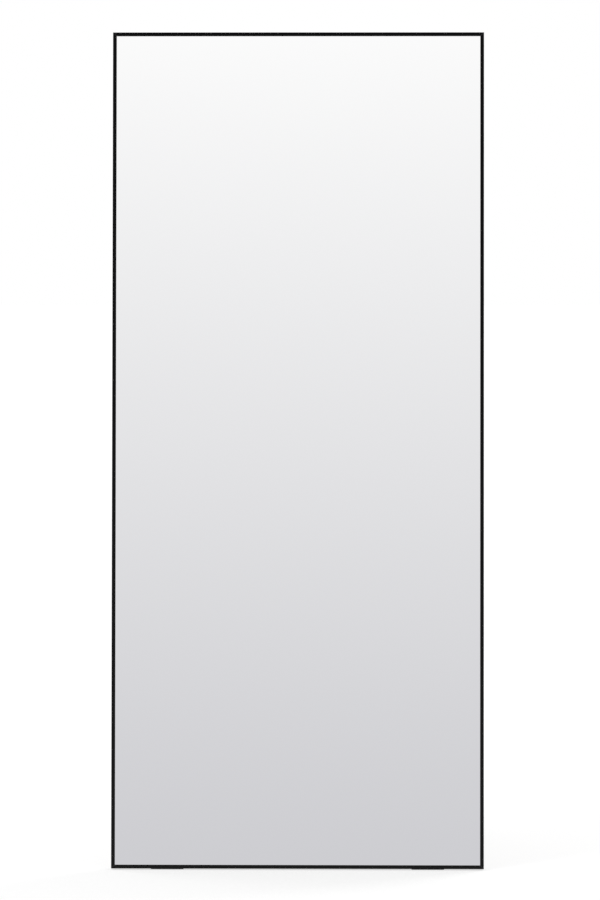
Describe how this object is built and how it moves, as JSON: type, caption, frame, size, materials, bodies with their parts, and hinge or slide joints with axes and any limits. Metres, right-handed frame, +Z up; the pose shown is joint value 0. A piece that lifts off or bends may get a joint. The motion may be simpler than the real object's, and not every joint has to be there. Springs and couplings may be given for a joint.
{
  "type": "leaning floor mirror",
  "caption": "Tall leaning floor mirror: silvered glass in a thin mitred black metal frame, with rubber feet, bumpers for the wall and swinging hanger rings behind.",
  "frame": {"origin": "on the floor, midway across the width and midway between the frame's lower front edge and the wall", "axes": "+Z up, +Y from the mirror's face towards the wall it leans on, +X to the right seen from the front; the mirror is stored leaning back 4.5 degrees"},
  "size_m": [0.8, 0.17, 1.7973],
  "materials": {
    "frame_aluminium": "satin",
    "key_casting": "matte",
    "screw_steel": "satin",
    "silvered_glass": "polished",
    "film": "gloss",
    "foam_tape": "matte",
    "hardboard": "matte",
    "foam_gasket": "matte",
    "block_rubber": "matte",
    "spring_steel": "satin",
    "zinc_plated_steel": "satin",
    "foot_rubber": "matte"
  },
  "bodies": {
    "mirror": {"left_stile": "frame_aluminium", "right_stile": "frame_aluminium", "bottom_rail": "frame_aluminium", "top_rail": "frame_aluminium", "top_left_corner_key": "key_casting", "top_right_corner_key": "key_casting", "bottom_left_corner_key": "key_casting", "bottom_right_corner_key": "key_casting", "top_left_key_screws": "screw_steel", "top_right_key_screws": "screw_steel", "bottom_left_key_screws": "screw_steel", "bottom_right_key_screws": "screw_steel", "left_strap_screws": "screw_steel", "right_strap_screws": "screw_steel", "mirror_glass": "silvered_glass", "safety_film": "film", "mounting_tape": "foam_tape", "backing_board": "hardboard", "left_lip_gasket": "foam_gasket", "right_lip_gasket": "foam_gasket", "bottom_lip_gasket": "foam_gasket", "top_lip_gasket": "foam_gasket", "left_edge_blocks": "block_rubber", "right_edge_blocks": "block_rubber", "bottom_edge_blocks": "block_rubber", "top_edge_blocks": "block_rubber", "left_spring_clips": "spring_steel", "right_spring_clips": "spring_steel", "bottom_spring_clips": "spring_steel", "top_spring_clips": "spring_steel", "left_hanger_strap": "zinc_plated_steel", "right_hanger_strap": "zinc_plated_steel", "left_wall_bumper": "foot_rubber", "right_wall_bumper": "foot_rubber", "left_lower_bumper": "foot_rubber", "right_lower_bumper": "foot_rubber", "left_foot": "foot_rubber", "right_foot": "foot_rubber"},
    "left_ring": {"left_ring": "zinc_plated_steel"},
    "right_ring": {"right_ring": "zinc_plated_steel"}
  },
  "joints": [
    {"name": "left_ring_swing", "type": "hinge", "parent": "mirror", "child": "left_ring", "pos_m": [-0.391, 0.04858, 1.34662], "axis": [1, 0, 0], "range_deg": [-8, 168]},
    {"name": "right_ring_swing", "type": "hinge", "parent": "mirror", "child": "right_ring", "pos_m": [0.391, 0.04858, 1.34662], "axis": [1, 0, 0], "range_deg": [-8, 168]}
  ]
}
